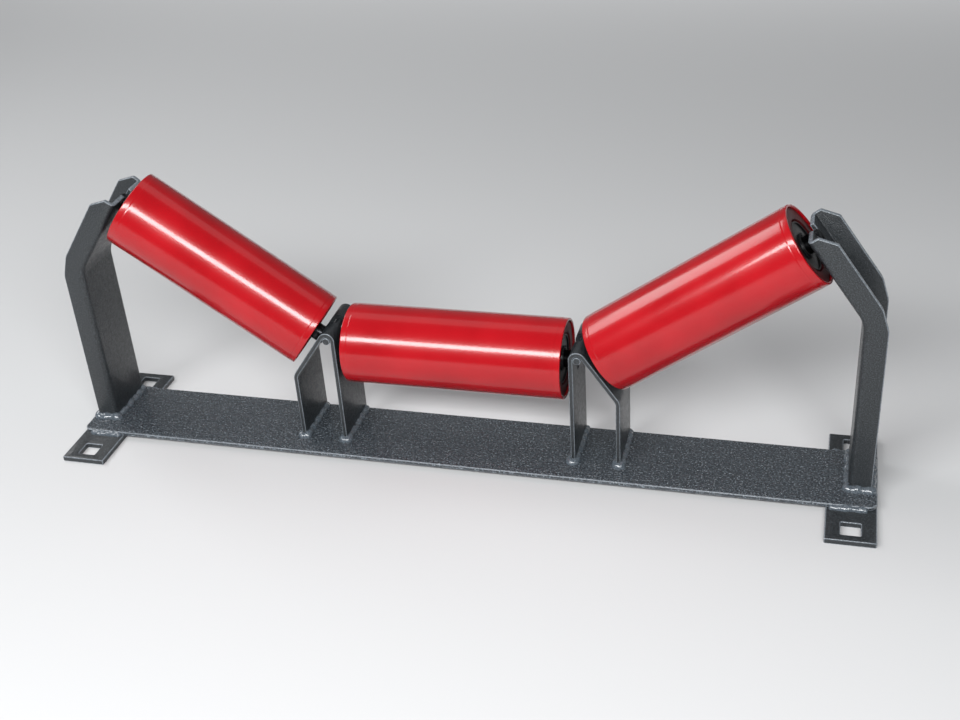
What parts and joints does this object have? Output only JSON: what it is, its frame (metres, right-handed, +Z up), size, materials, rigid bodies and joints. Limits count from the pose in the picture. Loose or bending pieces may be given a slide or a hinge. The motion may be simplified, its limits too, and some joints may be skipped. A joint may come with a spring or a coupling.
{
  "type": "troughing idler set",
  "caption": "Three-roller troughing idler: a level centre roller and two wing rollers at 35 degrees, turning on ball bearings in a welded base with end stands and bent saddles.",
  "frame": {"origin": "middle of the four foot bolt holes, on the underside of the feet", "axes": "+X across the belt to the right-hand wing roller, +Y along the belt towards the flush rear edge of the base, +Z up"},
  "size_m": [1.166, 0.24, 0.3993],
  "materials": {
    "powder_coat": "textured dark grey powder coat, semi-matte",
    "roller_enamel": "glossy red enamel",
    "turned_steel": "turned, lightly oiled",
    "bearing_steel": "ground and polished",
    "cage_steel": "pressed sheet, satin",
    "spring_steel": "phosphated, dull",
    "seal_plastic": "moulded black nylon"
  },
  "bodies": {
    "frame": {"base_plate": "powder_coat", "left_foot": "powder_coat", "right_foot": "powder_coat", "foot_welds": "powder_coat", "left_end_stand": "powder_coat", "right_end_stand": "powder_coat", "stand_welds": "powder_coat", "left_saddle": "powder_coat", "right_saddle": "powder_coat", "saddle_welds": "powder_coat", "left_keeper_rod": "powder_coat", "right_keeper_rod": "powder_coat", "left_inner_rings": "bearing_steel", "left_inner_seals": "seal_plastic", "left_dust_covers": "seal_plastic", "left_circlips": "spring_steel", "left_shaft": "turned_steel", "centre_inner_rings": "bearing_steel", "centre_inner_seals": "seal_plastic", "centre_dust_covers": "seal_plastic", "centre_circlips": "spring_steel", "centre_shaft": "turned_steel", "right_inner_rings": "bearing_steel", "right_inner_seals": "seal_plastic", "right_dust_covers": "seal_plastic", "right_circlips": "spring_steel", "right_shaft": "turned_steel"},
    "left_roller": {"left_tube": "roller_enamel", "left_housings": "roller_enamel", "left_outer_rings": "bearing_steel", "left_outer_seals": "seal_plastic"},
    "left_ball_set": {"left_balls": "bearing_steel", "left_cages": "cage_steel"},
    "centre_roller": {"centre_tube": "roller_enamel", "centre_housings": "roller_enamel", "centre_outer_rings": "bearing_steel", "centre_outer_seals": "seal_plastic"},
    "centre_ball_set": {"centre_balls": "bearing_steel", "centre_cages": "cage_steel"},
    "right_roller": {"right_tube": "roller_enamel", "right_housings": "roller_enamel", "right_outer_rings": "bearing_steel", "right_outer_seals": "seal_plastic"},
    "right_ball_set": {"right_balls": "bearing_steel", "right_cages": "cage_steel"}
  },
  "joints": [
    {"name": "left_roller_spin", "type": "hinge", "parent": "frame", "child": "left_roller", "pos_m": [-0.34202, 0.027, 0.26284], "axis": [0.8192, 0, -0.5736], "continuous": true},
    {"name": "left_ball_orbit", "type": "hinge", "parent": "frame", "child": "left_ball_set", "pos_m": [-0.34202, 0.027, 0.26284], "axis": [0.8192, 0, -0.5736], "continuous": true},
    {"name": "centre_roller_spin", "type": "hinge", "parent": "frame", "child": "centre_roller", "pos_m": [0, 0.027, 0.157], "axis": [1, 0, 0], "continuous": true},
    {"name": "centre_ball_orbit", "type": "hinge", "parent": "frame", "child": "centre_ball_set", "pos_m": [0, 0.027, 0.157], "axis": [1, 0, 0], "continuous": true},
    {"name": "right_roller_spin", "type": "hinge", "parent": "frame", "child": "right_roller", "pos_m": [0.34202, 0.027, 0.26284], "axis": [0.8192, 0, 0.5736], "continuous": true},
    {"name": "right_ball_orbit", "type": "hinge", "parent": "frame", "child": "right_ball_set", "pos_m": [0.34202, 0.027, 0.26284], "axis": [0.8192, 0, 0.5736], "continuous": true}
  ],
  "couplings": [
    {"joint": "left_ball_orbit", "follows": "left_roller_spin", "ratio": 0.6026},
    {"joint": "centre_ball_orbit", "follows": "centre_roller_spin", "ratio": 0.6026},
    {"joint": "right_ball_orbit", "follows": "right_roller_spin", "ratio": 0.6026}
  ]
}
